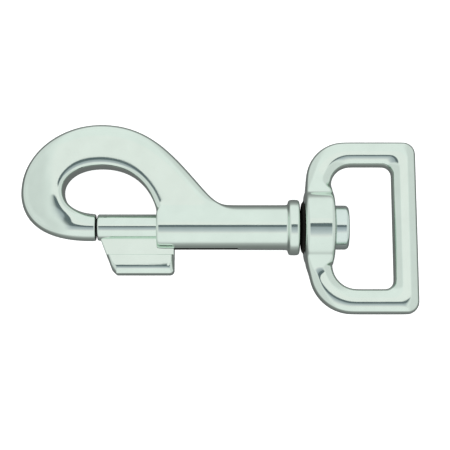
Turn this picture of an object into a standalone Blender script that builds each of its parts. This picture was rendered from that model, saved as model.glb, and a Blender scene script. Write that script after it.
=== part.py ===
"""Bolt snap hook with a spring bolt and a swivelling strap eye.

The snap lies flat: X runs along the barrel from the hook (-X) to the strap eye (+X), Y is
across it in the plane of the hook, and Z is up through its thickness.  The origin is the
middle of the inner face of the strap eye's far bar, on the axis that the eye swivels about.
Lengths are metres.
"""
import math

import bmesh
import bpy
from mathutils import Matrix, Vector

MM = 0.001

# ---- Driving dimensions ---------------------------------------------------------------
STRAP_WIDTH = 26.1 * MM          # clear width inside the eye, for 25 mm webbing
EYE_BAR_WIDTH = 5.1 * MM        # width of the eye's bars, seen flat
EYE_BAR_THICKNESS = 4.9 * MM
EYE_BOSS_RADIUS = 7.8 * MM
EYE_BOSS_LENGTH = 6.3 * MM
EYE_REST_TURN = math.radians(-3.5)   # about +X, as the swivel happens to rest
EYE_BOSS_TO_BAR = 12.2 * MM      # clear run between the boss and the far bar

BARREL_RADIUS = 4.72 * MM
BARREL_LENGTH = 29.7 * MM        # from the mouth to the collar's outer face
COLLAR_RADIUS = 5.84 * MM
COLLAR_LENGTH = 2.4 * MM

BOLT_RADIUS = 2.75 * MM
MOUTH_GAP = 12.6 * MM            # from the nose to the barrel's mouth
BOLT_TRAVEL = 12.8 * MM
NOSE_RADIUS = 2.86 * MM

LOOP_HEIGHT = 21.72 * MM         # top of the hook above the barrel's axis
LOOP_LENGTH = 28.45 * MM          # from the mouth to the hook's far end
LOOP_HALF_THICKNESS = 3.2 * MM

PIN_RADIUS = 3.0 * MM
PIN_HEAD_RADIUS = 4.6 * MM
PIN_HEAD_LENGTH = 2.85 * MM
PIN_PRESSED_LENGTH = 5.6 * MM

FIN_WEB_THICKNESS = 2.4 * MM
THUMB_PAD_THICKNESS = 4.3 * MM
THUMB_PAD_DEPTH = 10.0 * MM     # bottom of the thumb pad below the axis

SPRING_WIRE_RADIUS = 0.225 * MM
SPRING_MEAN_RADIUS = 2.25 * MM
SPRING_TURNS = 10

# ---- Clearances -----------------------------------------------------------------------
RUNNING_CLEARANCE = 0.1 * MM     # radial, for the bolt in its bore and the eye on its pin
PRESS_CLEARANCE = 0.05 * MM      # radial, drawn so that the pressed pin stays a separate solid
SLOT_CLEARANCE = 0.2 * MM        # each side of the bolt's web
SWIVEL_GAP = 0.9 * MM            # between the collar and the eye's boss
HEAD_GAP = 0.15 * MM             # between the eye's boss and the pin's head
NOSE_GAP = 0.3 * MM              # between the nose and the bolt
STOP_GAP = 0.3 * MM              # left between the web and the slot's end at full travel
SEAT_GAP = 0.05 * MM             # at each end of the spring

# ---- Derived positions along the axis ---------------------------------------------------
BOSS_RIGHT = -EYE_BOSS_TO_BAR
BOSS_LEFT = BOSS_RIGHT - EYE_BOSS_LENGTH
COLLAR_RIGHT = BOSS_LEFT - SWIVEL_GAP
COLLAR_LEFT = COLLAR_RIGHT - COLLAR_LENGTH
MOUTH = COLLAR_RIGHT - BARREL_LENGTH
NOSE_END = MOUTH - MOUTH_GAP
HOOK_END = MOUTH - LOOP_LENGTH
BOLT_FRONT = NOSE_END + NOSE_GAP
FIN_REAR = MOUTH + 3.77 * MM
BOLT_REAR = FIN_REAR + 1.37 * MM
SLOT_END = FIN_REAR + BOLT_TRAVEL + STOP_GAP
PIN_INNER = COLLAR_RIGHT - PIN_PRESSED_LENGTH
BORE_RADIUS = BOLT_RADIUS + RUNNING_CLEARANCE
SLOT_HALF_WIDTH = FIN_WEB_THICKNESS / 2 + SLOT_CLEARANCE

AROUND = 32                      # faces around the hook and the barrel
AROUND_FIT = 48                  # faces around the pieces that fit in each other


# ---- Mesh helpers -----------------------------------------------------------------------
def plated_metal(name, colour, roughness):
    material = bpy.data.materials.new(name)
    material.use_nodes = True
    shader = material.node_tree.nodes["Principled BSDF"]
    shader.inputs["Base Color"].default_value = (*colour, 1.0)
    shader.inputs["Metallic"].default_value = 1.0
    shader.inputs["Roughness"].default_value = roughness
    return material


def finish(name, mesh_data, material=None, origin=(0.0, 0.0, 0.0)):
    """Turn a bmesh into an object whose own origin is at the given point."""
    bmesh.ops.recalc_face_normals(mesh_data, faces=mesh_data.faces)
    mesh = bpy.data.meshes.new(name)
    mesh_data.to_mesh(mesh)
    mesh_data.free()
    mesh.transform(Matrix.Translation(-Vector(origin)))
    mesh.shade_smooth()
    mesh.set_sharp_from_angle(angle=math.radians(30))
    thing = bpy.data.objects.new(name, mesh)
    thing.location = origin
    bpy.context.scene.collection.objects.link(thing)
    if material:
        mesh.materials.append(material)
    return thing


def on_axis(x, radius, angle):
    """A point around the X axis; the angle runs from +Y towards +Z."""
    return Vector((x, radius * math.cos(angle), radius * math.sin(angle)))


def lathe_grid(mesh_data, profile, around):
    """Turn (x, radius) pairs about X; an end at radius 0 is one point."""
    grid = []
    for x, radius in profile:
        if radius == 0.0:
            grid.append([mesh_data.verts.new((x, 0.0, 0.0))] * around)
        else:
            grid.append([mesh_data.verts.new(on_axis(x, radius, math.tau * j / around))
                         for j in range(around)])
    return grid


def skin_grid(mesh_data, grid, skip=()):
    """Faces between neighbouring rows of a turned grid, leaving out the skipped cells."""
    around = len(grid[0])
    for i in range(len(grid) - 1):
        for j in range(around):
            if (i, j) in skip:
                continue
            corners = [grid[i][j], grid[i + 1][j],
                       grid[i + 1][(j + 1) % around], grid[i][(j + 1) % around]]
            mesh_data.faces.new(list(dict.fromkeys(corners)))


def turned(name, profile, around, material=None, origin=(0.0, 0.0, 0.0)):
    mesh_data = bmesh.new()
    skin_grid(mesh_data, lathe_grid(mesh_data, profile, around))
    return finish(name, mesh_data, material, origin)


def skin_rings(mesh_data, rings):
    """Faces between closed rings of the same number of vertices."""
    count = len(rings[0])
    for ring, following in zip(rings, rings[1:]):
        for j in range(count):
            k = (j + 1) % count
            mesh_data.faces.new([ring[j], following[j], following[k], ring[k]])


def bezier(p0, p1, p2, p3, t):
    a, b, c, d = (1 - t) ** 3, 3 * t * (1 - t) ** 2, 3 * t * t * (1 - t), t ** 3
    return Vector((a * p0[0] + b * p1[0] + c * p2[0] + d * p3[0],
                   a * p0[1] + b * p1[1] + c * p2[1] + d * p3[1]))


def boolean(target, tool, operation):
    modifier = target.modifiers.new(tool.name, "BOOLEAN")
    modifier.object = tool
    modifier.operation = operation
    modifier.solver = "EXACT"
    tool.hide_render = True
    tool.display_type = "WIRE"


def box_between(name, low, high):
    mesh_data = bmesh.new()
    bmesh.ops.create_cube(mesh_data, size=1.0)
    size = Vector(high) - Vector(low)
    middle = (Vector(high) + Vector(low)) / 2
    bmesh.ops.scale(mesh_data, vec=size, verts=mesh_data.verts)
    bmesh.ops.translate(mesh_data, vec=middle, verts=mesh_data.verts)
    return finish(name, mesh_data)


# ---- Hook body: loop, web, barrel and collar, one casting --------------------------------
CHAMFER = ((1.0, 0.0), (0.99, 0.20), (0.94, 0.45), (0.89, 0.68), (0.84, 0.87),
           (0.79, 0.93), (0.55, 0.965), (0.27, 0.992), (0.0, 1.0))


def hook_section(inner, outer, half, corner_in, corner_out, chamfer, crown, count):
    """Points around a section that runs from the inner to the outer edge of the loop.

    A corner of 2 is an ellipse's, and higher ones are tighter.  The chamfer, from 0 to 1,
    bevels the outer edge, and the crown is how far the face falls towards it."""
    middle = (inner + outer) / 2
    reach = (outer - inner) / 2
    points = []
    for j in range(count):
        angle = math.tau * j / count
        cosine, sine = math.cos(angle), math.sin(angle)
        corner = corner_in if cosine > 0 else corner_out
        across = -math.copysign(abs(cosine) ** (2 / corner), cosine)
        up = math.copysign(abs(sine) ** (2 / corner), sine)
        if cosine < -1e-9:
            bevel_across, bevel_up = CHAMFER[abs(j - count // 2)]
            across += (bevel_across - across) * chamfer
            up += (math.copysign(bevel_up, sine) - up) * chamfer
        at = middle + reach * across
        past = min(max((across + 0.5) / 1.1, 0.0), 1.0)
        fall = 1.0 - crown * 1.15 * past * past / (past + 0.15)
        points.append(Vector((at.x, at.y, half * up * fall)))
    return points


def ease(t):
    t = min(max(t, 0.0), 1.0)
    return t * t * (3 - 2 * t)


def hook_stations():
    """Inner and outer point, half thickness, corners, chamfer and crown along the loop."""
    top_x = MOUTH - 11.7 * MM
    left_y = 7.6 * MM
    inner_left = MOUTH - 19.4 * MM
    inner_top = LOOP_HEIGHT - 9.1 * MM
    slope_x, slope_y = MOUTH + 5.8 * MM, LOOP_HEIGHT - 9.2 * MM
    slope = Vector((0.67, -0.742))
    web_end = MOUTH + 14.3 * MM
    nose_straight = NOSE_END - 0.35 * MM

    outer = [
        ((nose_straight, -NOSE_RADIUS), (HOOK_END + 4.4 * MM, -NOSE_RADIUS - 0.25 * MM),
         (HOOK_END, left_y - 6.2 * MM), (HOOK_END, left_y)),
        ((HOOK_END, left_y), (HOOK_END, left_y + 8.0 * MM),
         (top_x - 8.8 * MM, LOOP_HEIGHT), (top_x, LOOP_HEIGHT)),
        ((top_x, LOOP_HEIGHT), (top_x + 8.2 * MM, LOOP_HEIGHT),
         (slope_x - 6.6 * MM * slope.x, slope_y - 6.6 * MM * slope.y), (slope_x, slope_y)),
        ((slope_x, slope_y), (slope_x + 6.5 * MM * slope.x, slope_y + 6.5 * MM * slope.y),
         (web_end - 2.4 * MM, BARREL_RADIUS), (web_end, BARREL_RADIUS)),
    ]
    mouth_top = 3.35 * MM
    sweep = ((top_x, inner_top), (top_x + 7.1 * MM, inner_top),
             (MOUTH - 1.2 * MM, mouth_top + 4.8 * MM), (MOUTH, mouth_top))
    inner = [
        ((nose_straight, NOSE_RADIUS), (nose_straight - 3.8 * MM, NOSE_RADIUS + 0.15 * MM),
         (inner_left, left_y - 3.0 * MM), (inner_left, left_y)),
        ((inner_left, left_y), (inner_left, left_y + 2.5 * MM),
         (top_x - 5.0 * MM, inner_top), (top_x, inner_top)),
    ]
    counts = (12, 10, 8, 7)
    stations = []
    for part, count in enumerate(counts):
        for i in range(count):
            t = i / count
            if part < 2:
                inner_at = bezier(*inner[part], t)
            else:
                inner_at = bezier(*sweep, (t + part - 2) / 2)
            along = (part + t) / 4
            nose = ease(1.0 - along / 0.24)
            web = ease((along - 0.62) / 0.36)
            half = LOOP_HALF_THICKNESS + (NOSE_RADIUS - LOOP_HALF_THICKNESS) * nose
            corner_in = 6.5 - 4.5 * nose + 1.5 * web
            corner_out = 3.3 - 1.3 * nose + 0.7 * web
            crown = 0.36 * ease((along - 0.03) / 0.10) * ease((0.42 - along) / 0.17)
            chamfer = 0.9 * ease((along - 0.03) / 0.12) * ease((0.5 - along) / 0.2)
            stations.append((inner_at, bezier(*outer[part], t), half,
                             corner_in, corner_out, chamfer, crown))
    return stations, web_end


def make_hook_body(material):
    stations, web_end = hook_stations()
    radius, collar = BARREL_RADIUS, COLLAR_RADIUS
    rim_rows = [(MOUTH, 3.35 * MM), (MOUTH, 4.05 * MM), (MOUTH + 0.08 * MM, radius - 0.19 * MM)]
    web_rows = [MOUTH + d * MM for d in (0.4, 2.9, 5.7, 8.5, 11.3)] + [web_end]
    cylinder_rows = [web_end + d * MM for d in (3.2, 6.6, 10.0)] + [COLLAR_LEFT - 0.9 * MM]
    profile = (
        [(MOUTH, 0.0), (MOUTH, 1.2 * MM), (MOUTH, 2.3 * MM)]
        + rim_rows
        + [(x, radius) for x in web_rows]
        + [(x, radius) for x in cylinder_rows]
        + [(COLLAR_LEFT - 0.3 * MM, radius + 0.02 * MM), (COLLAR_LEFT - 0.06 * MM, radius + 0.2 * MM),
           (COLLAR_LEFT, collar - 0.5 * MM), (COLLAR_LEFT + 0.14 * MM, collar - 0.15 * MM),
           (COLLAR_LEFT + 0.5 * MM, collar), (COLLAR_RIGHT - 0.6 * MM, collar),
           (COLLAR_RIGHT - 0.15 * MM, collar - 0.15 * MM), (COLLAR_RIGHT, collar - 0.6 * MM),
           (COLLAR_RIGHT, 4.0 * MM), (COLLAR_RIGHT, 2.0 * MM), (COLLAR_RIGHT, 0.0)])
    first = 3                                   # row on the mouth face where the web starts
    last = first + 8                            # row on the barrel's top where the web ends
    side = AROUND // 8                          # half the web's share of the faces around

    mesh_data = bmesh.new()
    grid = lathe_grid(mesh_data, profile, AROUND)
    opening = {(i, j % AROUND) for i in range(first, last) for j in range(-side, side)}
    skin_grid(mesh_data, grid, opening)

    base = []
    for j in range(AROUND):
        if j <= side:
            row, column = first, j
        elif j <= side + 8:
            row, column = first + j - side, side
        elif j <= 3 * side + 8:
            row, column = last, 2 * side + 8 - j
        elif j <= 3 * side + 16:
            row, column = last - (j - 3 * side - 8), -side
        else:
            row, column = first, j - AROUND
        base.append(grid[row][column % AROUND])

    end = [Vector((NOSE_END + dx * MM, 0, 0)) for dx in (0.0, 0.0, -0.09)]
    rings = []
    for middle, share in zip(end, (0.45, 0.86, 0.965)):
        rings.append([mesh_data.verts.new(middle + Vector((0, p.y, p.z)) * share)
                      for p in hook_section(Vector((0, NOSE_RADIUS)), Vector((0, -NOSE_RADIUS)),
                                            NOSE_RADIUS, 2.0, 2.0, 0.0, 0.0, AROUND)])
    for station in stations:
        rings.append([mesh_data.verts.new(p) for p in hook_section(*station, AROUND)])
    rings.append(base)
    skin_rings(mesh_data, rings)
    tip = mesh_data.verts.new((NOSE_END, 0, 0))
    for j in range(AROUND):
        mesh_data.faces.new([tip, rings[0][j], rings[0][(j + 1) % AROUND]])
    body = finish("hook_body", mesh_data, material)

    shoulder = PIN_INNER - 0.3 * MM
    bore = turned("bore_cutter", [
        (MOUTH - 2 * MM, 0.0), (MOUTH - 2 * MM, BORE_RADIUS), (shoulder, BORE_RADIUS),
        (shoulder, PIN_RADIUS + PRESS_CLEARANCE),
        (COLLAR_RIGHT + 2 * MM, PIN_RADIUS + PRESS_CLEARANCE), (COLLAR_RIGHT + 2 * MM, 0.0)],
        AROUND_FIT)
    boolean(body, bore, "DIFFERENCE")
    slot = box_between("slot_cutter", (MOUTH - 3 * MM, -BARREL_RADIUS - 2 * MM, -SLOT_HALF_WIDTH),
                       (SLOT_END, -0.5 * MM, SLOT_HALF_WIDTH))
    boolean(body, slot, "DIFFERENCE")
    return body


# ---- Slide bolt: round bolt, web and thumb pad, one casting -------------------------------
def fin_front(y):
    """The front edge of the web and the pad slopes back as it goes down."""
    return BOLT_FRONT + 0.5 * MM + (-2.12 * MM - y) * 0.389


def make_slide_bolt(material):
    r = BOLT_RADIUS
    body = turned("slide_bolt", [
        (BOLT_FRONT, 0.0), (BOLT_FRONT, r - 0.45 * MM), (BOLT_FRONT + 0.1 * MM, r - 0.14 * MM),
        (BOLT_FRONT + 0.4 * MM, r), (BOLT_REAR, r), (BOLT_REAR, 1.6 * MM),
        (BOLT_REAR + 2.4 * MM, 1.6 * MM), (BOLT_REAR + 2.7 * MM, 1.3 * MM),
        (BOLT_REAR + 2.7 * MM, 0.0)], AROUND_FIT, material, (BOLT_REAR, 0.0, 0.0))

    half = FIN_WEB_THICKNESS / 2
    top, foot = -1.0 * MM, -7.5 * MM
    outline = [(fin_front(-2.12 * MM), top), (fin_front(-2.12 * MM), -2.12 * MM),
               (fin_front(foot), foot), (FIN_REAR, foot), (FIN_REAR, top)]
    mesh_data = bmesh.new()
    sides = [[mesh_data.verts.new((x, y, side * (half - 0.22 * MM * (y - foot) / (top - foot))))
              for x, y in outline] for side in (-1, 1)]
    mesh_data.faces.new(sides[0])
    mesh_data.faces.new(list(reversed(sides[1])))
    skin_rings(mesh_data, sides)
    boolean(body, finish("web_tool", mesh_data), "UNION")

    pad_top, face_foot, bottom = -5.7 * MM, -8.2 * MM, -THUMB_PAD_DEPTH
    corner = 0.9 * MM

    def pad_outline(rim, foot, grow):
        front_top = fin_front(pad_top) + rim
        front_low = fin_front(foot + corner) + rim
        rear = FIN_REAR - rim
        points = [(front_top, pad_top - grow), (front_low, foot + corner)]
        points.append((front_low + 0.95 * MM, foot))
        for k in range(4):
            angle = -math.pi / 2 + math.pi / 2 * k / 3
            points.append((rear - corner + corner * math.cos(angle),
                           foot + corner + corner * math.sin(angle)))
        points.append((rear, pad_top - grow))
        return points

    thick = THUMB_PAD_THICKNESS / 2
    steps = [(thick, 0.72 * MM, face_foot, 0.12 * MM), (thick - 0.3 * MM, 0.4 * MM, -9.0 * MM, 0.08 * MM),
             (1.2 * MM, 0.1 * MM, -9.7 * MM, 0.04 * MM), (0.45 * MM, 0.0, bottom, 0.0)]
    layers = [(-z, rim, foot, grow) for z, rim, foot, grow in steps] + steps[::-1]
    flare = math.tan(math.radians(4.0))       # the pad's faces open out towards its foot
    mesh_data = bmesh.new()
    rings = []
    for z, rim, foot, grow in layers:
        rings.append([])
        for x, y in pad_outline(rim, foot, grow):
            lift = math.copysign((y - face_foot) * flare, z) if rim else 0.0
            rings[-1].append(mesh_data.verts.new((x, y, z - lift)))
    skin_rings(mesh_data, rings)
    mesh_data.faces.new(rings[0])
    mesh_data.faces.new(list(reversed(rings[-1])))
    boolean(body, finish("pad_tool", mesh_data), "UNION")
    return body


# ---- Spring -----------------------------------------------------------------------------
def make_bolt_spring(material):
    """A wire coil between the bolt's shoulder and the pin; its end turns lie closed."""
    per_turn, sides = 14, 6
    wire, mean = SPRING_WIRE_RADIUS, SPRING_MEAN_RADIUS
    low = BOLT_REAR + SEAT_GAP + wire
    high = PIN_INNER - SEAT_GAP - wire
    closed = 2.3 * wire                              # advance of each closed end turn
    steps = SPRING_TURNS * per_turn
    mesh_data = bmesh.new()
    rings = []
    for i in range(steps + 1):
        turn = i / per_turn
        if turn <= 1:
            x = low + closed * turn
        elif turn >= SPRING_TURNS - 1:
            x = high - closed * (SPRING_TURNS - turn)
        else:
            x = low + closed + (high - low - 2 * closed) * (turn - 1) / (SPRING_TURNS - 2)
        angle = math.tau * turn
        centre = on_axis(x, mean, angle)
        outward = on_axis(0.0, 1.0, angle)
        rings.append([mesh_data.verts.new(centre + wire * (
            outward * math.cos(math.tau * k / sides)
            + Vector((1, 0, 0)) * math.sin(math.tau * k / sides))) for k in range(sides)])
    skin_rings(mesh_data, rings)
    mesh_data.faces.new(rings[0])
    mesh_data.faces.new(list(reversed(rings[-1])))
    return finish("bolt_spring", mesh_data, material, (PIN_INNER, 0.0, 0.0))


# ---- Swivel pin --------------------------------------------------------------------------
def make_swivel_pin(material):
    head_left = BOSS_RIGHT + HEAD_GAP
    head_right = head_left + PIN_HEAD_LENGTH
    r, head = PIN_RADIUS, PIN_HEAD_RADIUS
    return turned("swivel_pin", [
        (PIN_INNER, 0.0), (PIN_INNER, r - 0.4 * MM), (PIN_INNER + 0.4 * MM, r), (head_left, r),
        (head_left, head - 0.12 * MM), (head_left + 0.12 * MM, head), (head_right - 0.75 * MM, head),
        (head_right - 0.32 * MM, head - 0.14 * MM), (head_right - 0.06 * MM, head - 0.55 * MM),
        (head_right, head - 1.1 * MM), (head_right, 0.0)],
        AROUND_FIT, material, (PIN_INNER, 0.0, 0.0))


# ---- Strap eye: D-shaped loop and boss, one casting ----------------------------------------
BAR_QUARTER = ((1.0, 0.0), (1.0, 0.2), (0.99, 0.38), (0.92, 0.58), (0.81, 0.76), (0.45, 0.945),
               (0.26, 0.99), (0.0, 1.0))


def bar_ring(inner, outer, half_thickness, fill):
    """Section of the eye's bar: flat side walls, bevelled shoulders and a slight crown.

    A fill below 1 squares the section up, as where the arms leave the boss."""
    quarter = [(u ** fill, w ** fill) for u, w in BAR_QUARTER]
    points = ([(-u, w) for u, w in quarter] + [(u, w) for u, w in reversed(quarter[:-1])]
              + [(u, -w) for u, w in quarter[1:]] + [(-u, -w) for u, w in reversed(quarter[1:-1])])
    middle = (inner + outer) / 2
    reach = (outer - inner) / 2
    ring = []
    for u, w in points:
        at = middle + reach * u
        ring.append(Vector((at.x, at.y, half_thickness * w)))
    return ring


def arc_points(centre, radius, start, stop, count):
    return [Vector((centre[0] + radius * math.cos(math.radians(start + (stop - start) * i / count)),
                    centre[1] + radius * math.sin(math.radians(start + (stop - start) * i / count))))
            for i in range(count + 1)]


def spread(a, b, shares):
    return [Vector(a) + (Vector(b) - Vector(a)) * s for s in shares]


def eye_rails():
    """Inner and outer outline of the eye, from the top of the boss round to its bottom.

    The lower shoulder is rounder than the upper one."""
    inside = STRAP_WIDTH / 2
    outside = inside + EYE_BAR_WIDTH
    boss_top = EYE_BOSS_RADIUS + 0.1 * MM
    far_outer, far_inner = 2.5 * MM, 2.0 * MM
    lean = 7.0
    halves = []
    for big, small, shift in ((8.0 * MM, 4.2 * MM, 0.6 * MM), (8.8 * MM, 5.0 * MM, 1.0 * MM)):
        big_centre = (BOSS_LEFT + shift + big, outside - big)
        small_centre = (BOSS_RIGHT - 0.5 * MM + small, inside - small)
        outer_arc = arc_points(big_centre, big, 180 - lean, 90, 9)
        inner_arc = arc_points(small_centre, small, 180, 90, 9)
        outer_corner = arc_points((EYE_BAR_WIDTH - far_outer, outside - far_outer),
                                  far_outer, 90, 0, 7)
        inner_corner = arc_points((-far_inner, inside - far_inner), far_inner, 90, 0, 7)
        arm, bar = (0.0, 0.45), (0.3, 0.7)
        outer = (spread((BOSS_LEFT + 0.4 * MM, boss_top), outer_arc[0], arm) + outer_arc
                 + spread(outer_arc[-1], outer_corner[0], bar) + outer_corner
                 + spread(outer_corner[-1], (EYE_BAR_WIDTH, 0.0), (0.12, 0.5)))
        inner = (spread((BOSS_RIGHT - 0.35 * MM, boss_top), inner_arc[0], arm) + inner_arc
                 + spread(inner_arc[-1], inner_corner[0], bar) + inner_corner
                 + spread(inner_corner[-1], (0.0, 0.0), (0.12, 0.5)))
        halves.append(list(zip(inner, outer)))
    upper, lower = halves
    lower = [(Vector((a.x, -a.y)), Vector((b.x, -b.y))) for a, b in reversed(lower)]
    return upper + [(Vector((0.0, 0.0)), Vector((EYE_BAR_WIDTH, 0.0)))] + lower


def make_strap_eye(material):
    r = EYE_BOSS_RADIUS
    left, right = BOSS_LEFT, BOSS_RIGHT
    hub = left - SWIVEL_GAP + 0.3 * MM        # a low hub runs against the barrel's collar
    profile = [
        (hub, 0.0), (hub, 2.0 * MM), (hub, 5.2 * MM), (left, 5.4 * MM), (left, r - 1.5 * MM),
        (left + 0.12 * MM, r - 0.7 * MM), (left + 0.4 * MM, r - 0.24 * MM),
        (left + 0.9 * MM, r), (left + 2.0 * MM, r),
        (left + EYE_BOSS_LENGTH / 2, r), (right - 1.7 * MM, r),
        (right - 0.75 * MM, r), (right - 0.32 * MM, r - 0.24 * MM),
        (right - 0.08 * MM, r - 0.7 * MM), (right, r - 1.5 * MM),
        (right, 4.4 * MM), (right, 2.0 * MM), (right, 0.0)]
    first, last, side = 6, 12, 4
    around = AROUND_FIT
    mesh_data = bmesh.new()
    grid = lathe_grid(mesh_data, profile, around)
    opening = set()
    for i in range(first, last):
        for j in range(-side, side):
            opening.add((i, j % around))
            opening.add((i, (around // 2 + j) % around))
    skin_grid(mesh_data, grid, opening)

    def boss_ring(turn):
        ring = []
        for j in range(28):
            if j <= 4:
                row, column = last, j
            elif j <= 10:
                row, column = last - (j - 4), 4
            elif j <= 18:
                row, column = first, 14 - j
            elif j <= 24:
                row, column = first + (j - 18), -4
            else:
                row, column = last, j - 28
            if turn:
                column = around // 2 - column
            ring.append(grid[row][column % around])
        return ring

    half = EYE_BAR_THICKNESS / 2
    rings = [boss_ring(False)]
    rails = eye_rails()
    for i, (inner, outer) in enumerate(rails):
        near = min(i, len(rails) - 1 - i, 3)            # the arms are fuller by the boss
        lift, fill = (0.95, 0.4, 0.1, 0.0)[near] * MM, (0.45, 0.75, 0.95, 1.0)[near]
        rings.append([mesh_data.verts.new(p) for p in bar_ring(inner, outer, half + lift, fill)])
    rings.append(boss_ring(True))
    skin_rings(mesh_data, rings)
    bmesh.ops.rotate(mesh_data, cent=(0.0, 0.0, 0.0), matrix=Matrix.Rotation(EYE_REST_TURN, 3, "X"),
                     verts=mesh_data.verts)
    eye = finish("strap_eye", mesh_data, material, ((BOSS_LEFT + BOSS_RIGHT) / 2, 0.0, 0.0))
    bore = turned("eye_bore_cutter", [
        (left - 2 * MM, 0.0), (left - 2 * MM, PIN_RADIUS + RUNNING_CLEARANCE),
        (right + 2 * MM, PIN_RADIUS + RUNNING_CLEARANCE), (right + 2 * MM, 0.0)], AROUND_FIT)
    boolean(eye, bore, "DIFFERENCE")
    return eye


def main():
    for thing in list(bpy.data.objects):
        bpy.data.objects.remove(thing)
    make_hook_body(plated_metal("hook_plating", (0.72, 0.78, 0.75), 0.16))
    make_slide_bolt(plated_metal("bolt_plating", (0.72, 0.78, 0.75), 0.16))
    make_bolt_spring(plated_metal("spring_steel", (0.45, 0.46, 0.46), 0.3))
    make_swivel_pin(plated_metal("pin_plating", (0.70, 0.76, 0.73), 0.18))
    make_strap_eye(plated_metal("eye_plating", (0.72, 0.78, 0.75), 0.16))


main()
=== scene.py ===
"""Looks of a plated bolt snap: hook casting, sliding bolt, spring, swivel pin and strap eye.

X runs along the barrel from the hook to the strap eye, Y is across it in the hook's plane,
and Z is up.  The swivel axis is the X axis.  Lengths are metres.
"""

import math

import bmesh
import bpy
from mathutils import Matrix, Vector
from mathutils.kdtree import KDTree


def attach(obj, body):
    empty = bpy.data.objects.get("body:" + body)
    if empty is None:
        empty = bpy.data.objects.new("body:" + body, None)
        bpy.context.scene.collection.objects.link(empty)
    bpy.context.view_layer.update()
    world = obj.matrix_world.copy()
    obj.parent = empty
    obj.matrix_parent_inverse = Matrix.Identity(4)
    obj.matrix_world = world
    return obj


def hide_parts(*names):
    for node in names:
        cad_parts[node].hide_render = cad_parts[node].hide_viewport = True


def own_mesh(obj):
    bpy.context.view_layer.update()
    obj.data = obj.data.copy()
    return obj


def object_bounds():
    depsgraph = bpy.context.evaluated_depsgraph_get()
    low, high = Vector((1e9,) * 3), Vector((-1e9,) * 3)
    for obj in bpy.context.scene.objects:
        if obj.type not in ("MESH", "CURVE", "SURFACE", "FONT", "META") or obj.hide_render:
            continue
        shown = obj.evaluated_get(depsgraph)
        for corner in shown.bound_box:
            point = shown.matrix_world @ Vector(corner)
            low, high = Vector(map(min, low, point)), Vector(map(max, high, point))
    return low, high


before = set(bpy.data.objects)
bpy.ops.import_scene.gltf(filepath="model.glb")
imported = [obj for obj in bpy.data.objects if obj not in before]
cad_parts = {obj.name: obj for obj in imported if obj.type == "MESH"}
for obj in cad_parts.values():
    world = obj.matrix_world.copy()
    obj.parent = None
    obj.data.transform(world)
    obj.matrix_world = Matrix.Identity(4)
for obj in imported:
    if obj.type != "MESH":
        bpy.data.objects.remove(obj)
cad_low, cad_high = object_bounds()

MM = 0.001

# ---- Sizes shared with the solids -----------------------------------------------------
# Places along X
BOSS_RIGHT, BOSS_LEFT = -12.2 * MM, -18.5 * MM
COLLAR_RIGHT, COLLAR_LEFT = -19.4 * MM, -21.8 * MM
MOUTH = -49.1 * MM
NOSE_END = -61.7 * MM
HOOK_END = MOUTH - 28.45 * MM
BOLT_FRONT = NOSE_END + 0.3 * MM
FIN_REAR = MOUTH + 3.77 * MM
BOLT_REAR = FIN_REAR + 1.37 * MM
BOLT_TRAVEL = 12.8 * MM
SLOT_END = FIN_REAR + BOLT_TRAVEL + 0.3 * MM
PIN_INNER = COLLAR_RIGHT - 5.6 * MM
PIN_HEAD_LENGTH = 2.85 * MM

# Radii about the X axis
BARREL = 4.72 * MM
COLLAR = 5.84 * MM
BORE = 2.85 * MM
BOLT = 2.75 * MM
SPRING_PEG = 1.6 * MM                       # behind the bolt, inside the spring's first turns
NOSE = 2.86 * MM
PIN = 3.0 * MM
PIN_HEAD = 4.6 * MM
PIN_BORE = 3.05 * MM
EYE_BORE = 3.1 * MM
BOSS = 7.8 * MM

# Heights, widths and thicknesses
HOOK_TOP = 21.72 * MM
HOOK_HALF = 3.2 * MM
SLOT_HALF = 1.4 * MM
WEB_HALF = 1.2 * MM
WEB_TOP, WEB_FOOT = -1.0 * MM, -7.0 * MM
FIN_TOP = -2.12 * MM
STRAP_HALF = 13.05 * MM
EYE_BAR = 5.1 * MM
EYE_HALF = 2.45 * MM
EYE_TURN = math.radians(-3.5)
AROUND = 32                                 # faces round the hook's barrel


# ---- Edit-mode helpers ------------------------------------------------------------------
def pick(thing):
    bpy.ops.object.select_all(action="DESELECT")
    thing.select_set(True)
    bpy.context.view_layer.objects.active = thing


def open_edit(thing):
    pick(thing)
    bpy.ops.object.mode_set(mode="EDIT")
    bpy.ops.mesh.select_mode(type="VERT")
    bpy.ops.mesh.select_all(action="DESELECT")


def close_edit():
    bpy.ops.object.mode_set(mode="OBJECT")


def edit_mesh(thing):
    mesh = bmesh.from_edit_mesh(thing.data)
    mesh.verts.ensure_lookup_table()
    return mesh


def nearest_in(verts, places):
    """The vertex at each place, in order."""
    verts = list(verts)
    finder = KDTree(len(verts))
    for i, vert in enumerate(verts):
        finder.insert(vert.co, i)
    finder.balance()
    return [verts[finder.find(place)[1]] for place in places]


def select_ring(thing, ring):
    """Select the vertices that lie on a ring of places."""
    bpy.ops.mesh.select_all(action="DESELECT")
    mesh = edit_mesh(thing)
    for vert in nearest_in(mesh.verts, ring):
        vert.select = True
    mesh.select_flush(True)
    bmesh.update_edit_mesh(thing.data)


def grow_ring(thing, ring, places):
    """Extrude a ring of vertices and set each new vertex on its place."""
    select_ring(thing, ring)
    bpy.ops.mesh.extrude_region_move()
    mesh = edit_mesh(thing)
    grown = nearest_in([vert for vert in mesh.verts if vert.select], ring)
    for vert, place in zip(grown, places):
        vert.co = place
    bmesh.update_edit_mesh(thing.data)
    return places


def around_axis(x, radius, count=AROUND):
    angles = [math.tau * j / count for j in range(count)]
    return [Vector((x, radius * math.cos(angle), radius * math.sin(angle))) for angle in angles]


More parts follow.
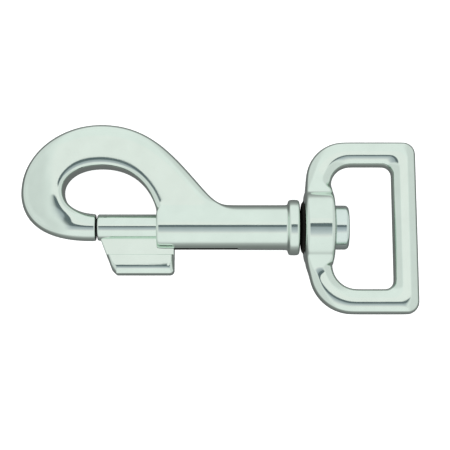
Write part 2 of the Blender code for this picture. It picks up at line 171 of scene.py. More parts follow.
def start_tube(name, x, radius, count=AROUND):
    """A circle around the X axis, open in edit mode, and its ring of places from +Y to +Z."""
    bpy.ops.object.select_all(action="DESELECT")
    bpy.ops.mesh.primitive_circle_add(vertices=count, radius=radius, fill_type="NOTHING")
    thing = bpy.context.active_object
    thing.name = thing.data.name = name
    open_edit(thing)
    mesh = edit_mesh(thing)
    for vert, place in zip(mesh.verts, around_axis(x, radius, count)):
        vert.co = place
    bmesh.update_edit_mesh(thing.data)
    return thing, around_axis(x, radius, count)


def turn_rows(thing, ring, rows, count=AROUND):
    """Carry a tube on along X through (x, radius) rows, and return all its rings."""
    rings = [ring]
    for x, radius in rows:
        rings.append(grow_ring(thing, rings[-1], around_axis(x, radius, count)))
    return rings


def close_tip(thing, ring):
    select_ring(thing, ring)
    bpy.ops.mesh.extrude_region_move()
    bpy.ops.mesh.merge(type="CENTER")


def open_side(thing, rings, first, last, columns):
    """Delete the tube's faces between two of its rows, in the given columns."""
    spots = []
    around = len(rings[0])
    for i in range(first, last):
        for j in columns:
            corners = [rings[i][j % around], rings[i + 1][j % around],
                       rings[i + 1][(j + 1) % around], rings[i][(j + 1) % around]]
            spots.append(sum(corners, Vector()) / 4)
    bpy.ops.mesh.select_mode(type="FACE")
    bpy.ops.mesh.select_all(action="DESELECT")
    mesh = edit_mesh(thing)
    faces = list(mesh.faces)
    finder = KDTree(len(faces))
    for i, face in enumerate(faces):
        finder.insert(face.calc_center_median(), i)
    finder.balance()
    for spot in spots:
        faces[finder.find(spot)[1]].select = True
    bmesh.update_edit_mesh(thing.data)
    bpy.ops.mesh.delete(type="FACE")
    bpy.ops.mesh.select_mode(type="VERT")


def opening_edge(rings, near, far, side, turned=False):
    """Places round an opening, from the middle of its near row; turned goes the other way."""
    step = 1 if far > near else -1
    spots = [(near, j) for j in range(side)]
    spots += [(i, side) for i in range(near, far, step)]
    spots += [(far, j) for j in range(side, -side, -1)]
    spots += [(i, -side) for i in range(far, near, -step)]
    spots += [(near, j) for j in range(-side, 0)]
    around = len(rings[0])
    return [rings[i][(around // 2 - j if turned else j) % around] for i, j in spots]


def arc(cx, cr, radius, start, stop, count):
    """Rows (x, r) round an arc, for a rolled edge; angles in degrees from +X towards outward."""
    rows = []
    for i in range(count + 1):
        angle = math.radians(start + (stop - start) * i / count)
        rows.append((cx + radius * math.cos(angle), cr + radius * math.sin(angle)))
    return rows


def settle(thing):
    """Weld, point the faces outward and leave edit mode."""
    bpy.ops.mesh.select_all(action="SELECT")
    bpy.ops.mesh.remove_doubles(threshold=1e-6)
    bpy.ops.mesh.select_all(action="SELECT")
    bpy.ops.mesh.normals_make_consistent(inside=False)
    close_edit()


def smooth_skin(thing, levels):
    pick(thing)
    skin = thing.modifiers.new("skin", "SUBSURF")
    skin.levels = skin.render_levels = levels
    bpy.ops.object.modifier_apply(modifier=skin.name)


def cut(thing, tool, operation="DIFFERENCE"):
    pick(thing)
    change = thing.modifiers.new("cut", "BOOLEAN")
    change.object = tool
    change.operation = operation
    change.solver = "EXACT"
    bpy.ops.object.modifier_apply(modifier=change.name)
    bpy.data.objects.remove(tool)


def round_edges(thing, width, segments=3, angle=30):
    pick(thing)
    edge = thing.modifiers.new("edges", "BEVEL")
    edge.width = width
    edge.segments = segments
    edge.limit_method = "ANGLE"
    edge.angle_limit = math.radians(angle)
    bpy.ops.object.modifier_apply(modifier=edge.name)


def shade(thing, angle=35):
    pick(thing)
    bpy.ops.object.shade_smooth_by_angle(angle=math.radians(angle))


def flatten_shading(thing):
    """Let the large flat faces keep their own normals, and the small ones turn into them."""
    pick(thing)
    weight = thing.modifiers.new("flats", "WEIGHTED_NORMAL")
    weight.keep_sharp = True
    weight.weight = 100
    bpy.ops.object.modifier_apply(modifier=weight.name)


def place_box(name, low, high):
    bpy.ops.object.select_all(action="DESELECT")
    middle = (Vector(low) + Vector(high)) / 2
    size = Vector(high) - Vector(low)
    bpy.ops.mesh.primitive_cube_add(size=1.0, location=middle)
    thing = bpy.context.active_object
    thing.name = thing.data.name = name
    thing.scale = size
    bpy.ops.object.transform_apply(location=True, rotation=True, scale=True)
    return thing


def bezier(p0, p1, p2, p3, t):
    a, b, c, d = (1 - t) ** 3, 3 * t * (1 - t) ** 2, 3 * t * t * (1 - t), t ** 3
    return Vector((a * p0[0] + b * p1[0] + c * p2[0] + d * p3[0],
                   a * p0[1] + b * p1[1] + c * p2[1] + d * p3[1]))


# ---- Hook casting ---------------------------------------------------------------------
# The loop's chamfered outer quarter, as shares of its reach across and of its half thickness
CHAMFER = ((1.0, 0.0), (0.99, 0.20), (0.94, 0.45), (0.89, 0.68), (0.84, 0.87),
           (0.79, 0.93), (0.55, 0.965), (0.27, 0.992), (0.0, 1.0))
ROUND = 2.0                                 # corner of a circular section


def hook_section(inner, outer, half, corner_in, corner_out, chamfer, crown):
    """A section from inner to outer edge: higher corners are tighter, crown thins the outer side."""
    middle, reach = (inner + outer) / 2, (outer - inner) / 2
    places = []
    for j in range(AROUND):
        angle = math.tau * j / AROUND
        cosine, sine = math.cos(angle), math.sin(angle)
        corner = corner_in if cosine > 0 else corner_out
        across = -math.copysign(abs(cosine) ** (2 / corner), cosine)
        up = math.copysign(abs(sine) ** (2 / corner), sine)
        if cosine < -1e-9:
            bevel_across, bevel_up = CHAMFER[abs(j - AROUND // 2)]
            across += (bevel_across - across) * chamfer
            up += (math.copysign(bevel_up, sine) - up) * chamfer
        at = middle + reach * across
        past = min(max((across + 0.5) / 1.1, 0.0), 1.0)
        fall = 1.0 - crown * 1.15 * past * past / (past + 0.15)
        places.append(Vector((at.x, at.y, half * up * fall)))
    return places


def ease(t):
    t = min(max(t, 0.0), 1.0)
    return t * t * (3 - 2 * t)


def hook_stations():
    """Inner and outer point, half thickness, corners, chamfer and crown, nose to barrel."""
    top_x, left_y = MOUTH - 11.7 * MM, 7.6 * MM                  # the loop's highest and farthest
    inner_left, inner_top = MOUTH - 19.4 * MM, HOOK_TOP - 9.1 * MM
    slope_x, slope_y = MOUTH + 5.8 * MM, HOOK_TOP - 9.2 * MM     # on the web's straight back
    slope = Vector((0.67, -0.742))
    web_end = MOUTH + 14.3 * MM
    straight = NOSE_END - 0.35 * MM
    outer = [
        ((straight, -NOSE), (HOOK_END + 4.4 * MM, -NOSE - 0.25 * MM),
         (HOOK_END, left_y - 6.2 * MM), (HOOK_END, left_y)),
        ((HOOK_END, left_y), (HOOK_END, left_y + 8.0 * MM),
         (top_x - 8.8 * MM, HOOK_TOP), (top_x, HOOK_TOP)),
        ((top_x, HOOK_TOP), (top_x + 8.2 * MM, HOOK_TOP),
         (slope_x - 6.6 * MM * slope.x, slope_y - 6.6 * MM * slope.y), (slope_x, slope_y)),
        ((slope_x, slope_y), (slope_x + 6.5 * MM * slope.x, slope_y + 6.5 * MM * slope.y),
         (web_end - 2.4 * MM, BARREL), (web_end, BARREL)),
    ]
    mouth_top = 3.35 * MM
    sweep = ((top_x, inner_top), (top_x + 7.1 * MM, inner_top),
             (MOUTH - 1.2 * MM, mouth_top + 4.8 * MM), (MOUTH, mouth_top))
    inner = [
        ((straight, NOSE), (straight - 3.8 * MM, NOSE + 0.15 * MM),
         (inner_left, left_y - 3.0 * MM), (inner_left, left_y)),
        ((inner_left, left_y), (inner_left, left_y + 2.5 * MM),
         (top_x - 5.0 * MM, inner_top), (top_x, inner_top)),
    ]
    stations = []
    for part, count in enumerate((12, 10, 8, 7)):
        for i in range(count):
            t = i / count
            at = bezier(*inner[part], t) if part < 2 else bezier(*sweep, (t + part - 2) / 2)
            along = (part + t) / 4          # 0 at the nose, 1 at the barrel
            nose = ease(1.0 - along / 0.24)
            web = ease((along - 0.62) / 0.36)
            half = HOOK_HALF + (NOSE - HOOK_HALF) * nose
            chamfer = 0.9 * ease((along - 0.03) / 0.12) * ease((0.5 - along) / 0.2)
            crown = 0.36 * ease((along - 0.03) / 0.10) * ease((0.42 - along) / 0.17)
            stations.append((at, bezier(*outer[part], t), half, 6.5 - 4.5 * nose + 1.5 * web,
                             3.3 - 1.3 * nose + 0.7 * web, chamfer, crown))
    return stations, web_end


def make_hook():
    """Turned barrel with the loop grown from its side, and the slot cut for the bolt's web."""
    stations, web_end = hook_stations()
    shoulder = PIN_INNER - 0.3 * MM
    thing, ring = start_tube("hook_casting", MOUTH, BORE + 0.25 * MM)
    rows = [(MOUTH, 3.35 * MM), (MOUTH, 4.05 * MM), (MOUTH + 0.08 * MM, BARREL - 0.19 * MM)]
    rows += [(MOUTH + d * MM, BARREL) for d in (0.4, 2.9, 5.7, 8.5, 11.3)]
    rows += [(web_end + d * MM, BARREL) for d in (0.0, 3.2, 6.6, 10.0)]
    rows += [(COLLAR_LEFT - 0.9 * MM, BARREL), (COLLAR_LEFT - 0.3 * MM, BARREL + 0.02 * MM),
             (COLLAR_LEFT - 0.06 * MM, BARREL + 0.2 * MM), (COLLAR_LEFT, COLLAR - 0.5 * MM),
             (COLLAR_LEFT + 0.14 * MM, COLLAR - 0.15 * MM), (COLLAR_LEFT + 0.5 * MM, COLLAR),
             (COLLAR_RIGHT - 0.6 * MM, COLLAR), (COLLAR_RIGHT - 0.15 * MM, COLLAR - 0.15 * MM),
             (COLLAR_RIGHT, COLLAR - 0.6 * MM), (COLLAR_RIGHT, PIN_BORE + 0.35 * MM),
             (COLLAR_RIGHT, PIN_BORE + 0.08 * MM), (COLLAR_RIGHT - 0.08 * MM, PIN_BORE),
             (COLLAR_RIGHT - 0.3 * MM, PIN_BORE), (shoulder + 0.2 * MM, PIN_BORE),
             (shoulder, PIN_BORE), (shoulder, BORE), (shoulder - 0.2 * MM, BORE),
             (MOUTH + 0.5 * MM, BORE), (MOUTH + 0.1 * MM, BORE + 0.05 * MM)]
    rings = turn_rows(thing, ring, rows)
    grow_ring(thing, rings[-1], around_axis(MOUTH, BORE + 0.25 * MM))

    first, last, side = 1, 9, AROUND // 8   # where the loop's web leaves the barrel
    open_side(thing, rings, first, last, range(-side, side))
    ring = opening_edge(rings, first, last, side)
    for station in reversed(stations):
        ring = grow_ring(thing, ring, hook_section(*station))
    places = hook_section(Vector((0, NOSE)), Vector((0, -NOSE)), NOSE, ROUND, ROUND, 0.0, 0.0)
    for dx, share in ((-0.09, 0.965), (0.0, 0.86), (0.0, 0.45)):
        ring = grow_ring(thing, ring, [Vector((NOSE_END + dx * MM, p.y * share, p.z * share))
                                       for p in places])
    close_tip(thing, ring)
    settle(thing)
    smooth_skin(thing, 2)
    slot = place_box("slot_cutter", (MOUTH - 3 * MM, -BARREL - 2 * MM, -SLOT_HALF),
                     (SLOT_END, -0.6 * MM, SLOT_HALF))
    cut(thing, slot)
    shade(thing)
    return thing


# ---- Slide bolt -----------------------------------------------------------------------
FIN_LEAN = 0.389                            # run along X for each step down the front edge


def fin_front(y):
    return BOLT_FRONT + 0.5 * MM + (FIN_TOP - y) * FIN_LEAN


def raise_plate(name, outline, low, high):
    """A flat outline in the hook's plane, extruded through its thickness."""
    bpy.ops.object.select_all(action="DESELECT")
    bpy.ops.mesh.primitive_circle_add(vertices=len(outline), radius=MM, fill_type="NGON")
    thing = bpy.context.active_object
    thing.name = thing.data.name = name
    open_edit(thing)
    mesh = edit_mesh(thing)
    for vert, (x, y) in zip(mesh.verts, outline):
        vert.co = (x, y, low)
    bmesh.update_edit_mesh(thing.data)
    bpy.ops.mesh.select_all(action="SELECT")
    bpy.ops.mesh.extrude_region_move(TRANSFORM_OT_translate={"value": (0, 0, high - low)})
    settle(thing)
    return thing


def make_bolt():
    """Round bolt with a peg for the spring, joined to its web and thumb pad."""
    around = 96
    r, rolled, peg_end = BOLT, 0.42 * MM, BOLT_REAR + 2.7 * MM
    thing, ring = start_tube("bolt_casting", BOLT_FRONT, 0.9 * MM, around)
    rows = [(BOLT_FRONT, r - 0.5 * MM)]
    rows += arc(BOLT_FRONT + rolled, r - rolled, rolled, 180, 90, 6)
    rows += [(BOLT_REAR - 0.15 * MM, r), (BOLT_REAR, r - 0.15 * MM), (BOLT_REAR, SPRING_PEG),
             (peg_end - 0.3 * MM, SPRING_PEG), (peg_end, SPRING_PEG - 0.3 * MM),
             (peg_end, 0.5 * MM)]
    rings = turn_rows(thing, ring, rows, around)
    close_tip(thing, rings[-1])
    close_tip(thing, rings[0])
    settle(thing)

    web = raise_plate("web", [
        (fin_front(FIN_TOP), WEB_TOP), (fin_front(FIN_TOP), FIN_TOP),
        (fin_front(WEB_FOOT), WEB_FOOT), (FIN_REAR, WEB_FOOT), (FIN_REAR, WEB_TOP)],
        -WEB_HALF, WEB_HALF)
    draft = 0.22 * MM                       # the web is thinner at its top by this on each side
    open_edit(web)
    for vert in edit_mesh(web).verts:
        share = (vert.co.y - WEB_FOOT) / (WEB_TOP - WEB_FOOT)
        vert.co.z -= math.copysign(draft * share, vert.co.z)
    bmesh.update_edit_mesh(web.data)
    close_edit()
    round_edges(web, 0.3 * MM)
    cut(web, make_pad(), "UNION")
    cut(thing, web, "UNION")
    shade(thing)
    flatten_shading(thing)
    return thing


def make_pad():
    """Thumb pad: thicker than the web, with a wide bevel along its foot."""
    top, face_foot, bottom, corner = -5.7 * MM, -8.2 * MM, -10.0 * MM, 0.9 * MM
    core, flare = 0.45 * MM, math.tan(math.radians(4.0))

    def outline(rim, foot, grow):
        """The pad's edge, drawn in by rim at its sides, down to foot and up past its top by grow."""
        front_low = fin_front(foot + corner) + rim
        rear = FIN_REAR - rim
        points = [(fin_front(top) + rim, top - grow), (front_low, foot + corner),
                  (front_low + 0.95 * MM, foot)]
        for k in range(4):
            angle = -math.pi / 2 + math.pi / 2 * k / 3
            points.append((rear - corner + corner * math.cos(angle),
                           foot + corner + corner * math.sin(angle)))
        points.append((rear, top - grow))
        return points

    edge = outline(0.0, bottom, 0.0)
    pad = raise_plate("pad", edge, -core, core)
    open_edit(pad)
    # Half thickness, rim, foot and grow of each layer out from the core, in millimetres
    layers = ((1.2, 0.1, -9.7, 0.04), (1.85, 0.4, -9.0, 0.08), (2.15, 0.72, -8.2, 0.12))
    for sign in (-1, 1):
        ring = [Vector((x, y, sign * core)) for x, y in edge]
        for z, rim, foot, grow in layers:
            shape = outline(rim * MM, foot * MM, grow * MM)
            ring = grow_ring(pad, ring, [Vector((x, y, sign * (z * MM - (y - face_foot) * flare)))
                                         for x, y in shape])
    settle(pad)
    round_edges(pad, 0.12 * MM)
    return pad


# ---- Spring ---------------------------------------------------------------------------
def make_spring():
    """Ten turns of wire between the bolt's shoulder and the pin."""
    wire, mean, turns, per_turn, sides = 0.225 * MM, 2.25 * MM, 10, 32, 12
    low, high = BOLT_REAR + 0.05 * MM + wire, PIN_INNER - 0.05 * MM - wire
    closed = 2.3 * wire                     # advance of each closed end turn
    bpy.ops.object.select_all(action="DESELECT")
    bpy.ops.mesh.primitive_circle_add(vertices=sides, radius=wire, fill_type="NGON")
    thing = bpy.context.active_object
    thing.name = thing.data.name = "bolt_coil"
    open_edit(thing)

    def wire_ring(turn):
        if turn <= 1:
            x = low + closed * turn
        elif turn >= turns - 1:
            x = high - closed * (turns - turn)
        else:
            x = low + closed + (high - low - 2 * closed) * (turn - 1) / (turns - 2)
        out = Vector((0, math.cos(math.tau * turn), math.sin(math.tau * turn)))
        centre = Vector((x, 0, 0)) + out * mean
        return [centre + wire * (out * math.cos(math.tau * k / sides)
                                 + Vector((math.sin(math.tau * k / sides), 0, 0)))
                for k in range(sides)]

    mesh = edit_mesh(thing)
    for vert, place in zip(mesh.verts, wire_ring(0)):
        vert.co = place
    bmesh.update_edit_mesh(thing.data)
    ring = wire_ring(0)
    for i in range(1, turns * per_turn + 1):
        ring = grow_ring(thing, ring, wire_ring(i / per_turn))
    select_ring(thing, ring)
    bpy.ops.mesh.edge_face_add()
    settle(thing)
    shade(thing, 50)
    return thing


# ---- Swivel pin -----------------------------------------------------------------------
def make_pin():
    """Headed pin that holds the strap eye against the collar."""
    around, r, head = 96, PIN, PIN_HEAD
    left = BOSS_RIGHT + 0.15 * MM
    right = left + PIN_HEAD_LENGTH
    thing, ring = start_tube("pin_turning", PIN_INNER, 1.0 * MM, around)
    rows = [(PIN_INNER, r - 0.4 * MM), (PIN_INNER + 0.4 * MM, r), (left - 0.1 * MM, r),
            (left, r + 0.1 * MM), (left, head - 0.2 * MM)]
    rows += arc(left + 0.16 * MM, head - 0.16 * MM, 0.16 * MM, 180, 90, 4)
    rows += arc(right - 0.8 * MM, head - 0.8 * MM, 0.8 * MM, 90, 12, 8)
    rows += [(right, head - 1.25 * MM), (right, 1.2 * MM)]
    rings = turn_rows(thing, ring, rows, around)
    close_tip(thing, rings[-1])
    close_tip(thing, rings[0])
    settle(thing)
    shade(thing)
    return thing


# ---- Strap eye ------------------------------------------------------------------------
# A quarter of the bar's section, from its side wall to the middle of its face
BAR_QUARTER = ((1.0, 0.0), (1.0, 0.2), (0.99, 0.38), (0.92, 0.58), (0.81, 0.76), (0.45, 0.945),
               (0.26, 0.99), (0.0, 1.0))


def bar_ring(inner, outer, half, fill):
    """Flat side walls, bevelled shoulders and a slightly crowned face; less fill is squarer."""
    quarter = [(u ** fill, w ** fill) for u, w in BAR_QUARTER]
    spots = [(-u, w) for u, w in quarter]
    spots += [(u, w) for u, w in reversed(quarter[:-1])]
    spots += [(u, -w) for u, w in quarter[1:]]
    spots += [(-u, -w) for u, w in reversed(quarter[1:-1])]
    middle, reach = (inner + outer) / 2, (outer - inner) / 2
    return [Vector(((middle + reach * u).x, (middle + reach * u).y, half * w)) for u, w in spots]


def arc_points(cx, cy, radius, start, stop, count):
    angles = [math.radians(start + (stop - start) * i / count) for i in range(count + 1)]
    return [Vector((cx + radius * math.cos(angle), cy + radius * math.sin(angle)))
            for angle in angles]


def spread(a, b, shares):
    """Points at the given shares of the way from a to b."""
    return [Vector(a) + (Vector(b) - Vector(a)) * share for share in shares]


def eye_rails():
    """Inner and outer outline of the eye, from the top of the boss round to its bottom."""
    inside, outside, boss_top = STRAP_HALF, STRAP_HALF + EYE_BAR, 7.9 * MM
    outer_bend, inner_bend = 2.5 * MM, 2.0 * MM
    halves = []
    for big, small, shift in ((8.0 * MM, 4.2 * MM, 0.6 * MM), (8.8 * MM, 5.0 * MM, 1.0 * MM)):
        outer_arc = arc_points(BOSS_LEFT + shift + big, outside - big, big, 173, 90, 9)
        inner_arc = arc_points(BOSS_RIGHT - 0.5 * MM + small, inside - small, small, 180, 90, 9)
        outer_corner = arc_points(EYE_BAR - outer_bend, outside - outer_bend, outer_bend, 90, 0, 7)
        inner_corner = arc_points(-inner_bend, inside - inner_bend, inner_bend, 90, 0, 7)
        arm, run, far_bar = (0.0, 0.45), (0.3, 0.7), (0.12, 0.5)
        outer = (spread((BOSS_LEFT + 0.4 * MM, boss_top), outer_arc[0], arm) + outer_arc
                 + spread(outer_arc[-1], outer_corner[0], run) + outer_corner
                 + spread(outer_corner[-1], (EYE_BAR, 0.0), far_bar))
        inner = (spread((BOSS_RIGHT - 0.35 * MM, boss_top), inner_arc[0], arm) + inner_arc
                 + spread(inner_arc[-1], inner_corner[0], run) + inner_corner
                 + spread(inner_corner[-1], (0.0, 0.0), far_bar))
        halves.append(list(zip(inner, outer)))
    upper, lower = halves
    lower = [(Vector((a.x, -a.y)), Vector((b.x, -b.y))) for a, b in reversed(lower)]
    return upper + [(Vector((0.0, 0.0)), Vector((EYE_BAR, 0.0)))] + lower


def make_eye():
    """Turned boss with the bar grown from its top round to its bottom."""
    r, left, right = BOSS, BOSS_LEFT, BOSS_RIGHT
    bore, around = EYE_BORE, 48
    # The hub reaches to 0.3 mm from the collar; its face carries painted shade for the gap.
    hub = left - 0.6 * MM
    thing, ring = start_tube("eye_casting", hub, bore + 0.25 * MM, around)
    rows = [(hub, 5.2 * MM), (left, 5.4 * MM), (left, r - 1.5 * MM),
            (left + 0.12 * MM, r - 0.7 * MM), (left + 0.4 * MM, r - 0.24 * MM), (left + 0.9 * MM, r),
            (left + 2.0 * MM, r), (left + 3.35 * MM, r), (right - 1.7 * MM, r),
            (right - 0.75 * MM, r), (right - 0.32 * MM, r - 0.24 * MM),
            (right - 0.08 * MM, r - 0.7 * MM), (right, r - 1.5 * MM), (right, 4.4 * MM),
            (right, bore + 0.25 * MM), (right - 0.1 * MM, bore + 0.04 * MM),
            (right - 0.5 * MM, bore), (hub + 0.5 * MM, bore), (hub + 0.1 * MM, bore + 0.04 * MM)]
    rings = turn_rows(thing, ring, rows, around)
    grow_ring(thing, rings[-1], around_axis(hub, bore + 0.25 * MM, around))
    first, last, side = 5, 11, 4            # where the arms leave the boss
    open_side(thing, rings, first, last, range(-side, side))
    open_side(thing, rings, first, last, range(around // 2 - side, around // 2 + side))

    ring = opening_edge(rings, last, first, side)
    rails = eye_rails()
    for i, (inner, outer) in enumerate(rails):
        near = min(i, len(rails) - 1 - i, 3)                # 0 at the boss, 3 along the bar
        lift, fill = (0.95, 0.4, 0.1, 0.0)[near] * MM, (0.45, 0.75, 0.95, 1.0)[near]
        ring = grow_ring(thing, ring, bar_ring(inner, outer, EYE_HALF + lift, fill))
    grow_ring(thing, ring, opening_edge(rings, last, first, side, turned=True))
    settle(thing)
    smooth_skin(thing, 2)
    thing.data.transform(Matrix.Rotation(EYE_TURN, 4, "X"))
    shade(thing)
    return thing


# ---- Finishes, and painted shade for the recesses and gaps ----------------------------
def add_node(tree, kind, **values):
    node = tree.nodes.new(kind)
    for key, value in values.items():
        setattr(node, key, value)
    return node


def plating(name, colour, low, high, dapple=0.05, grain=0.02):
    """Bright plating over a tumbled casting: faint dapple, fine haze and tiny waves."""
    material = bpy.data.materials.new(name)
    material.use_nodes = True
    tree = material.node_tree
    shader = tree.nodes["Principled BSDF"]
    shader.inputs["Metallic"].default_value = 1.0
    place = add_node(tree, "ShaderNodeTexCoord")

    cloud = add_node(tree, "ShaderNodeTexNoise")
    cloud.inputs["Scale"].default_value = 260.0
    cloud.inputs["Detail"].default_value = 4.0
    tree.links.new(place.outputs["Object"], cloud.inputs["Vector"])
    haze = add_node(tree, "ShaderNodeMapRange")
    haze.inputs["From Min"].default_value = 0.3
    haze.inputs["From Max"].default_value = 0.7
    haze.inputs["To Min"].default_value = low
    haze.inputs["To Max"].default_value = high
    tree.links.new(cloud.outputs["Fac"], haze.inputs["Value"])
    tree.links.new(haze.outputs["Result"], shader.inputs["Roughness"])

    tone = add_node(tree, "ShaderNodeValToRGB")
    tone.color_ramp.elements[0].position = 0.3
    tone.color_ramp.elements[0].color = (*[c * (1 - dapple) for c in colour], 1)
    tone.color_ramp.elements[1].position = 0.7
    tone.color_ramp.elements[1].color = (*colour, 1)
    tree.links.new(cloud.outputs["Fac"], tone.inputs["Fac"])
    tree.links.new(tone.outputs["Color"], shader.inputs["Base Color"])

    waves = add_node(tree, "ShaderNodeTexNoise")
    waves.inputs["Scale"].default_value = 420.0
    waves.inputs["Detail"].default_value = 1.0
    tree.links.new(place.outputs["Object"], waves.inputs["Vector"])
    bump = add_node(tree, "ShaderNodeBump")
    bump.inputs["Strength"].default_value = grain
    bump.inputs["Distance"].default_value = 0.0004
    tree.links.new(waves.outputs["Fac"], bump.inputs["Height"])
    tree.links.new(bump.outputs["Normal"], shader.inputs["Normal"])
    return material


def dress(piece, finishes, node, body, choose=None):
    """Give a piece its finishes and its painted-shade materials; choose says which one a face takes,
    from its place.
    """
    piece.data.materials.clear()
    for finish in finishes:
        piece.data.materials.append(finish)
    if choose:
        for face in piece.data.polygons:
            face.material_index = int(choose(face.center, face.normal))
    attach(piece, body)
    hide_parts(node)


TINT = (0.76, 0.86, 0.785)
hook_finish = plating("hook_plating", TINT, 0.05, 0.10)
bolt_finish = plating("bolt_plating", TINT, 0.05, 0.10)
pin_finish = plating("pin_plating", (0.73, 0.83, 0.79), 0.06, 0.12)
eye_finish = plating("eye_plating", TINT, 0.05, 0.10)
wire_finish = plating("spring_wire", (0.5, 0.51, 0.5), 0.25, 0.38)

# Painted shade: a near-black, rough, non-metal material laid on the bore, the slot and the faces in
# the gap between collar and eye, where shade falls.
painted_shade_finish = plating("painted_recess_shade", (0.018, 0.016, 0.014), 0.75, 0.95, 0.3)
painted_shade_shader = painted_shade_finish.node_tree.nodes["Principled BSDF"]
painted_shade_shader.inputs["Metallic"].default_value = 0.0
painted_shade_shader.inputs["Specular IOR Level"].default_value = 0.1
# Painted shade: a darkened metal laid on the nose's end and the bolt's front, so the gap between
# them reads dark.
painted_gap_shade_finish = plating("painted_gap_shade", (0.13, 0.135, 0.13), 0.35, 0.5, 0.2)


def off_axis(place):
    return math.hypot(place.y, place.z)


def hook_painted_shade(place, normal):
    """Painted shade: 1 (dark dull material) for the bore, the slot and the collar's end, 2 (darkened
    metal) for the nose's end, in the gap to the bolt.
    """
    bore = place.x > MOUTH + 0.2 * MM and off_axis(place) < BORE + 0.2 * MM
    slot = (MOUTH < place.x < SLOT_END + 0.1 * MM and place.y < -2.0 * MM
            and abs(place.z) < 1.5 * MM and off_axis(place) < BARREL and abs(normal.y) < 0.9)
    collar = normal.x > 0.9 and place.x > COLLAR_RIGHT - 0.3 * MM
    nose = normal.x > 0.9 and abs(place.x - NOSE_END) < 0.2 * MM and off_axis(place) < NOSE
    return 2 if nose else bore or slot or collar


def bolt_painted_shade(place, normal):
    # Painted shade: the bolt's front end, facing the nose across the gap, takes the darkened metal.
    return normal.x < -0.9 and place.x < NOSE_END + 0.6 * MM


def eye_painted_shade(place, normal):
    # Painted shade: the hub's face in the gap by the collar takes the dark dull material.
    return place.x < BOSS_LEFT + 0.1 * MM and off_axis(place) < 5.6 * MM


def pin_painted_shade(place, normal):
    # Painted shade: the pin where it shows in the gap between collar and boss takes the dark dull
    # material.
    return COLLAR_RIGHT - 0.2 * MM < place.x < BOSS_LEFT + 0.2 * MM


dress(make_hook(), (hook_finish, painted_shade_finish, painted_gap_shade_finish), "hook_body", "snap", hook_painted_shade)
dress(make_bolt(), (bolt_finish, painted_gap_shade_finish), "slide_bolt", "bolt", bolt_painted_shade)
coil = make_spring()
dress(coil, (wire_finish,), "bolt_spring", "snap")
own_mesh(coil)
dress(make_pin(), (pin_finish, painted_shade_finish), "swivel_pin", "snap", pin_painted_shade)
dress(make_eye(), (eye_finish, painted_shade_finish), "strap_eye", "eye", eye_painted_shade)


# ---- Floor, light and camera ------------------------------------------------------------
# The tent's brightness, by share of the turn from straight above the work to straight below
TENT = ((0.0, 0.94), (0.42, 0.95), (0.49, 0.90), (0.54, 0.50), (0.66, 0.24), (1.0, 0.12))
# The strip over the work, by degrees of height: grey below, the dark lens gap, white above
STRIP = ((-30.0, (0.95, 0.95, 0.95)), (-24.0, (0.84, 0.84, 0.85)), (-16.0, (0.62, 0.65, 0.69)),
         (-6.0, (0.46, 0.50, 0.54)), (2.0, (0.38, 0.42, 0.46)), (4.0, (0.16, 0.19, 0.205)),
         (13.5, (0.12, 0.155, 0.17)), (14.6, (0.95, 0.95, 0.95)))
STRIP_REACH = 30.0                          # degrees above and below the lens
TILT = math.radians(8.0)
VIEW = Vector((0.0, -math.sin(TILT), math.cos(TILT)))
RISE = Vector((0.0, math.cos(TILT), math.sin(TILT)))


def lay_floor():
    """Plain pale floor just under the snap."""
    bpy.ops.object.select_all(action="DESELECT")
    bpy.ops.mesh.primitive_plane_add(size=3.0, location=(-0.035, 0, cad_low.z - 0.0002))
    floor = bpy.context.active_object
    floor.name = "floor"
    material = bpy.data.materials.new("pale_floor")
    material.use_nodes = True
    shader = material.node_tree.nodes["Principled BSDF"]
    shader.inputs["Base Color"].default_value = (0.9, 0.9, 0.9, 1)
    shader.inputs["Roughness"].default_value = 0.9
    shader.inputs["Emission Color"].default_value = (1, 1, 1, 1)
    shader.inputs["Emission Strength"].default_value = 0.75
    floor.data.materials.append(material)
    floor.visible_glossy = False


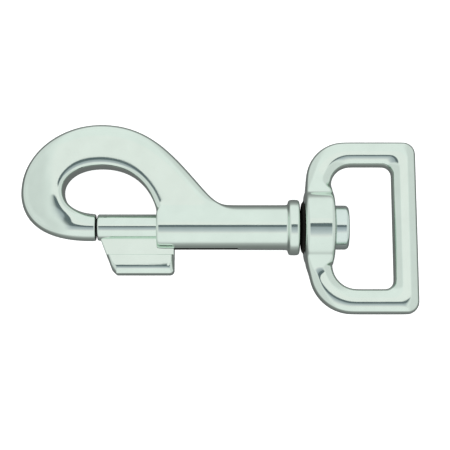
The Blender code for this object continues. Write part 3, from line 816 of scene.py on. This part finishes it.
def light_tent():
    """Soft white tent above, with a dark gap beside the lens, and dimmer under the work."""
    world = bpy.data.worlds.new("tent")
    bpy.context.scene.world = world
    world.use_nodes = True
    tree = world.node_tree
    back = tree.nodes["Background"]
    place = add_node(tree, "ShaderNodeTexCoord")

    def along(axis):
        dot = add_node(tree, "ShaderNodeVectorMath", operation="DOT_PRODUCT")
        tree.links.new(place.outputs["Generated"], dot.inputs[0])
        dot.inputs[1].default_value = axis
        return dot.outputs["Value"]

    def calc(operation, a, b=None, c=None):
        node = add_node(tree, "ShaderNodeMath", operation=operation)
        for slot, value in zip(node.inputs, (a, b, c)):
            if value is None:
                continue
            if isinstance(value, (int, float)):
                slot.default_value = value
            else:
                tree.links.new(value, slot)
        return node.outputs[0]

    def colour_ramp(steps):
        node = add_node(tree, "ShaderNodeValToRGB")
        stops = node.color_ramp.elements
        for i, (at, colour) in enumerate(steps):
            stop = stops[i] if i < 2 else stops.new(at)
            stop.position = at
            stop.color = (*colour, 1)
        return node

    front, up, side = along(VIEW), along(RISE), along((1, 0, 0))
    lean = calc("MULTIPLY_ADD", up, -0.07, -0.02)      # brighter above than below
    off = calc("ADD", calc("DIVIDE", calc("ARCCOSINE", front), math.pi), lean)
    ramp = colour_ramp([(at, (level * 0.97, level, level)) for at, level in TENT])
    ramp.color_ramp.interpolation = "B_SPLINE"
    tree.links.new(off, ramp.inputs["Fac"])

    height = calc("MULTIPLY", calc("ARCTAN2", up, front), 180 / math.pi)
    width = calc("MULTIPLY", calc("ARCSINE", side), 180 / math.pi)

    def fade(value, near, far):
        """1 up to near on either side of the middle, falling smoothly to 0 at far."""
        edge = add_node(tree, "ShaderNodeMapRange", interpolation_type="SMOOTHSTEP")
        edge.inputs["From Min"].default_value = near
        edge.inputs["From Max"].default_value = far
        edge.inputs["To Min"].default_value = 1.0
        edge.inputs["To Max"].default_value = 0.0
        tree.links.new(calc("ABSOLUTE", value), edge.inputs["Value"])
        return edge.outputs["Result"]

    reach = STRIP_REACH
    band = colour_ramp([((angle + reach) / (2 * reach), level) for angle, level in STRIP])
    tree.links.new(calc("DIVIDE", calc("ADD", height, reach), 2 * reach), band.inputs["Fac"])
    mix = add_node(tree, "ShaderNodeMix", data_type="RGBA")
    tree.links.new(calc("MULTIPLY", fade(height, reach - 1.0, reach), fade(width, 15.0, 25.0)),
                   mix.inputs["Factor"])
    tree.links.new(ramp.outputs["Color"], mix.inputs[6])
    tree.links.new(band.outputs["Color"], mix.inputs[7])
    tree.links.new(mix.outputs[2], back.inputs["Color"])
    flanks = calc("MULTIPLY_ADD", fade(side, 0.28, 0.55), 0.17, 0.83)     # dimmer at both ends
    tree.links.new(flanks, back.inputs["Strength"])


def set_camera():
    """A long lens that looks down on the work, tilted a little towards -Y."""
    data = bpy.data.cameras.new("camera")
    camera = bpy.data.objects.new("camera", data)
    bpy.context.scene.collection.objects.link(camera)
    data.sensor_width = 36.0
    data.lens = 104.0
    data.clip_start, data.clip_end = 0.005, 10.0
    aim, distance = Vector((-34.88 * MM, 0.55 * MM, 0.0)), 271.0 * MM
    camera.location = aim + VIEW * distance
    camera.rotation_mode = "QUATERNION"
    camera.rotation_quaternion = (-VIEW).to_track_quat("-Z", "Y")
    bpy.context.scene.camera = camera


lay_floor()
light_tent()
set_camera()
bpy.context.scene.view_settings.view_transform = "Standard"
